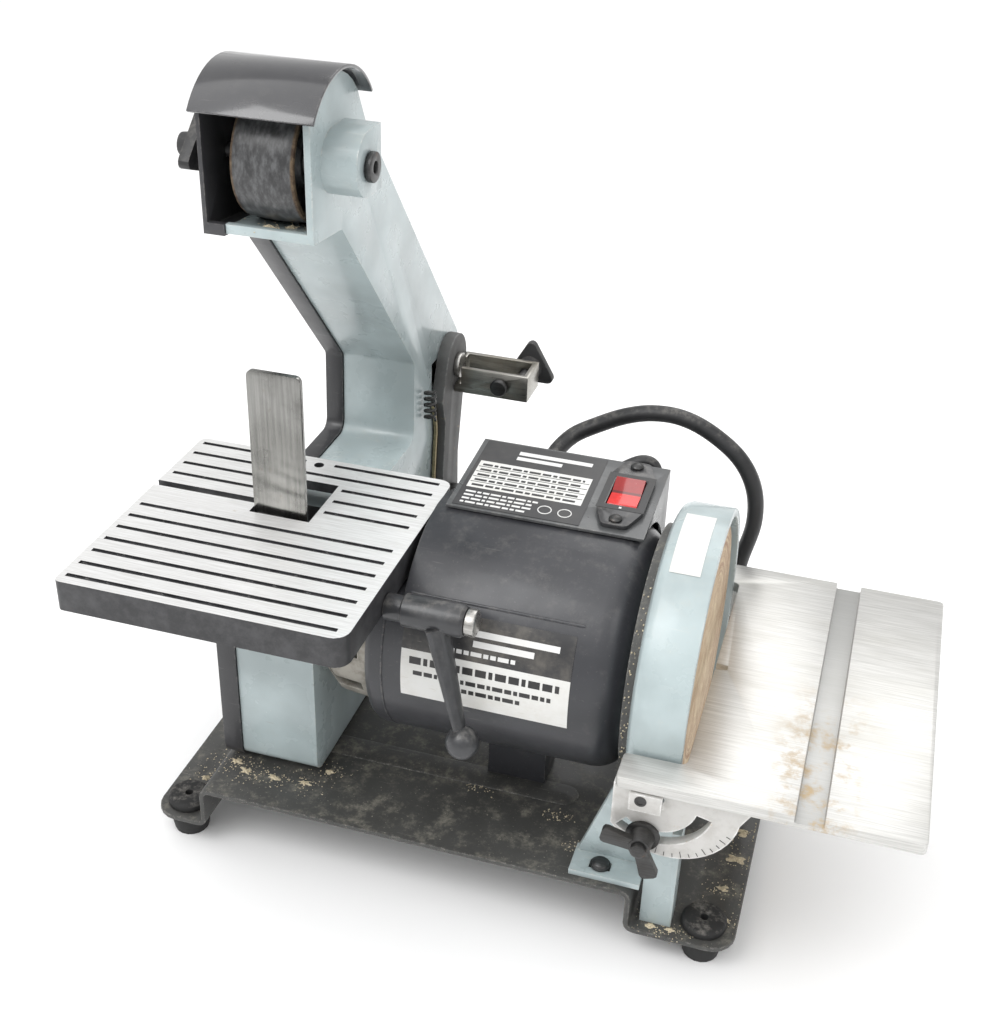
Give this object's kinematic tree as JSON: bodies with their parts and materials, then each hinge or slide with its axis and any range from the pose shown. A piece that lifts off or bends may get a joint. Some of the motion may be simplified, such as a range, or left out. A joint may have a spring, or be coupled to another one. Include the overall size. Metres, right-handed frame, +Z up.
{
  "type": "bench belt and disc sander",
  "caption": "Bench sander: one motor drives a narrow upright belt behind a grooved tilting table and a disc beside a tilting table.",
  "frame": {"origin": "on the floor under the middle of the machine, cord left out", "axes": "+X along the motor shaft from the belt to the disc, -Y towards the operator, +Z up"},
  "size_m": [0.3734, 0.3674, 0.3796],
  "materials": {
    "black_paint": "satin black enamel, scuffed and dusty",
    "blue_grey_paint": "blue-grey machine enamel, worn to metal at edges",
    "cast_aluminium": "cast and machined aluminium",
    "bright_steel": "plain steel, lightly tarnished",
    "dark_steel": "blackened steel",
    "grey_casting": "rough grey casting",
    "black_plastic": "matt black moulded plastic",
    "red_plastic": "glossy red plastic",
    "rubber": "matt black rubber",
    "worn_abrasive": "cloth-backed abrasive, worn smooth"
  },
  "bodies": {
    "machine": {"base_plate": "black_paint", "motor_housing": "black_paint", "motor_foot": "black_paint", "side_cover": "black_paint", "wheel_hood": "black_paint", "control_box": "blue_grey_paint", "belt_frame": "blue_grey_paint", "disc_guard": "blue_grey_paint", "disc_stand": "blue_grey_paint", "rear_disc_stand": "blue_grey_paint", "motor_end_bell": "cast_aluminium", "motor_end_plate": "cast_aluminium", "left_bearing": "bright_steel", "right_bearing": "bright_steel", "platen": "bright_steel", "pivot_stud": "bright_steel", "front_stand_screw": "bright_steel", "rear_stand_screw": "bright_steel", "stator": "dark_steel", "front_bezel_screw": "dark_steel", "rear_bezel_screw": "dark_steel", "upper_axle": "dark_steel", "platen_bracket": "dark_steel", "arm_pivot_bolt": "dark_steel", "tension_spring": "dark_steel", "table_bracket": "dark_steel", "switch_bezel": "black_plastic", "cord_tie": "black_plastic", "front_left_foot": "rubber", "front_right_foot": "rubber", "rear_left_foot": "rubber", "rear_right_foot": "rubber", "strain_relief": "rubber", "cord": "rubber", "cord_coil": "rubber", "power_plug": "rubber"},
    "spindle": {"motor_shaft": "bright_steel", "rotor": "bright_steel", "cooling_fan": "black_plastic", "drive_wheel": "cast_aluminium", "disc_plate": "cast_aluminium", "abrasive_disc": "worn_abrasive"},
    "upper_pulley": {"upper_wheel": "dark_steel", "upper_wheel_bearing": "bright_steel"},
    "tensioner": {"tension_arm": "grey_casting", "tracking_bracket": "bright_steel", "idler_axle": "bright_steel", "tracking_bolt": "dark_steel"},
    "idler": {"idler_wheel": "dark_steel"},
    "tracking_handle": {"tracking_knob": "black_plastic"},
    "belt_side_table": {"belt_table": "cast_aluminium"},
    "tilt_lock": {"lock_lever": "black_plastic"},
    "disc_side_table": {"disc_table": "cast_aluminium", "front_trunnion": "cast_aluminium", "rear_trunnion": "cast_aluminium"},
    "trunnion_lock": {"wing_nut": "dark_steel"},
    "switch_rocker": {"rocker_switch": "red_plastic"},
    "upper_knob": {"upper_cover_knob": "black_plastic"},
    "lower_knob": {"lower_cover_knob": "black_plastic"}
  },
  "joints": [
    {"name": "spindle_spin", "type": "hinge", "parent": "machine", "child": "spindle", "pos_m": [-0.01575, -0.036, 0.126], "axis": [1, 0, 0], "continuous": true},
    {"name": "upper_wheel_spin", "type": "hinge", "parent": "machine", "child": "upper_pulley", "pos_m": [-0.11875, -0.035, 0.3396], "axis": [1, 0, 0], "continuous": true},
    {"name": "tension_arm_swing", "type": "hinge", "parent": "machine", "child": "tensioner", "pos_m": [-0.09375, 0.106, 0.104], "axis": [1, 0, 0], "range_deg": [0, 6], "stiffness_Nm_per_rad": 4, "springref_deg": -6.88},
    {"name": "idler_spin", "type": "hinge", "parent": "tensioner", "child": "idler", "pos_m": [-0.11875, 0.115, 0.183], "axis": [1, 0, 0], "continuous": true},
    {"name": "tracking_knob_turn", "type": "hinge", "parent": "tensioner", "child": "tracking_handle", "pos_m": [-0.05475, 0.134, 0.1765], "axis": [0, 1, 0], "range_deg": [-180, 180]},
    {"name": "belt_table_tilt", "type": "hinge", "parent": "machine", "child": "belt_side_table", "pos_m": [-0.06575, -0.097, 0.1655], "axis": [1, 0, 0], "range_deg": [0, 45]},
    {"name": "lock_lever_turn", "type": "hinge", "parent": "machine", "child": "tilt_lock", "pos_m": [-0.03375, -0.097, 0.1655], "axis": [1, 0, 0], "range_deg": [-80, 0]},
    {"name": "disc_table_tilt", "type": "hinge", "parent": "machine", "child": "disc_side_table", "pos_m": [0.07725, -0.036, 0.114], "axis": [0, 1, 0], "range_deg": [0, 45]},
    {"name": "wing_nut_turn", "type": "hinge", "parent": "machine", "child": "trunnion_lock", "pos_m": [0.07325, -0.126, 0.093], "axis": [0, 1, 0], "range_deg": [-180, 180]},
    {"name": "switch_rock", "type": "hinge", "parent": "machine", "child": "switch_rocker", "pos_m": [0.03305, -0.0075, 0.18856], "axis": [1, 0, 0], "range_deg": [-14, 0]},
    {"name": "upper_cover_knob_turn", "type": "hinge", "parent": "machine", "child": "upper_knob", "pos_m": [-0.15075, -0.035, 0.3396], "axis": [1, 0, 0], "range_deg": [-180, 180]},
    {"name": "lower_cover_knob_turn", "type": "hinge", "parent": "machine", "child": "lower_knob", "pos_m": [-0.15075, 0.024, 0.096], "axis": [1, 0, 0], "range_deg": [-180, 180]}
  ]
}
